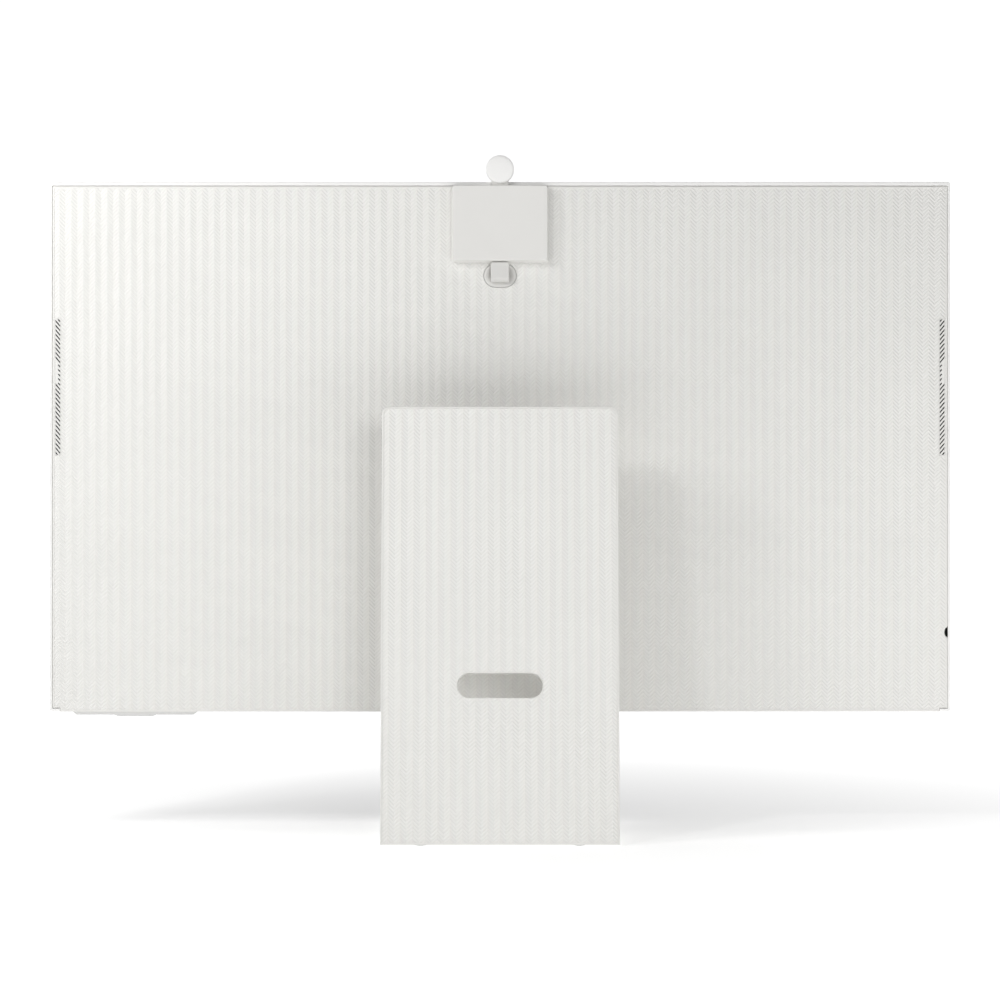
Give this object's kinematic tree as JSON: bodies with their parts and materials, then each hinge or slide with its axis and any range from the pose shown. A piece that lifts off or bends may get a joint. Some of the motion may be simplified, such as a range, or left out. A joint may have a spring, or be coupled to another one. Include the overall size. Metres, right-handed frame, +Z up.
{
  "type": "all-in-one computer",
  "caption": "Slim flat-backed all-in-one desktop computer with a large screen on an L-shaped height and tilt stand, and a small clip-on camera at the top of its rear.",
  "frame": {"origin": "on the desk, at the middle of the base, which is the bottom centre of the whole object's box", "axes": "+Z up, -Y is the way the screen faces, +X is to the right of someone looking at the screen"},
  "size_m": [0.7136, 0.1934, 0.5336],
  "materials": {
    "white_casing": "matte",
    "camera_casing": "satin",
    "socket_casing": "satin",
    "pod_casing": "satin",
    "display_face": "gloss",
    "lens": "gloss",
    "weight_steel": "matte",
    "bright_steel": "satin",
    "chassis_metal": "satin",
    "dark_plastic": "matte",
    "feet_rubber": "matte",
    "bronze": "satin",
    "glide_plastic": "satin",
    "optical_plastic": "satin",
    "circuit_board": "satin"
  },
  "bodies": {
    "stand": {"base_bottom": "dark_plastic", "base_weight": "weight_steel", "base_cover": "white_casing", "rubber_feet": "feet_rubber", "base_screws": "bright_steel", "upright_housing": "white_casing", "upright_panel": "white_casing", "spine": "weight_steel", "slide_rails": "bright_steel", "spring_strips": "bright_steel", "cable_hole_liner": "socket_casing"},
    "lift": {"carriage": "weight_steel", "glide_shoes": "glide_plastic", "spring_coils": "bright_steel", "hinge_pin": "bright_steel", "friction_washers": "bronze", "hinge_nuts": "bright_steel", "neck_cover": "white_casing"},
    "screen": {"hinge_plate": "bright_steel", "hinge_screws": "dark_plastic", "panel_chassis": "chassis_metal", "reflector_sheet": "optical_plastic", "light_guide": "optical_plastic", "led_bar": "circuit_board", "optical_sheets": "optical_plastic", "display_glass": "display_face", "mid_frame": "white_casing", "front_chin": "white_casing", "rear_cover": "white_casing", "speaker_left": "dark_plastic", "speaker_right": "dark_plastic", "grille_left": "white_casing", "grille_right": "white_casing", "main_board": "circuit_board", "processor": "circuit_board", "memory_chips": "dark_plastic", "heat_spreader": "chassis_metal", "storage_module": "circuit_board", "radio_card": "circuit_board", "antennas": "bronze", "power_board": "circuit_board", "driver_board": "circuit_board", "ribbon_cables": "optical_plastic", "port_bay": "white_casing", "usb_sockets": "bright_steel", "video_socket": "bright_steel", "power_inlet": "dark_plastic", "lock_anchor": "bright_steel", "camera_socket": "socket_casing", "cover_magnets": "bright_steel", "control_pod": "pod_casing", "button_switch": "dark_plastic"},
    "camera": {"camera_shell": "camera_casing", "camera_plate": "camera_casing", "camera_board": "circuit_board", "camera_tab": "socket_casing", "camera_head": "camera_casing", "camera_lens": "lens", "camera_magnets": "bright_steel"},
    "button": {"power_button": "pod_casing"}
  },
  "joints": [
    {"name": "height_slide", "type": "slide", "parent": "stand", "child": "lift", "axis": [0, -0.112, 0.9937], "range_m": [-0.044, 0.076]},
    {"name": "screen_tilt", "type": "hinge", "parent": "lift", "child": "screen", "pos_m": [0, 0.003, 0.2254], "axis": [-1, 0, 0], "range_deg": [-2, 15]},
    {"name": "camera_pull", "type": "slide", "parent": "screen", "child": "camera", "axis": [0, 1, 0], "range_m": [0, 0.04]},
    {"name": "button_press", "type": "slide", "parent": "screen", "child": "button", "axis": [0, 0, 1], "range_m": [0, 0.0008], "stiffness_N_per_m": 600, "springref_m": -0.0006}
  ]
}
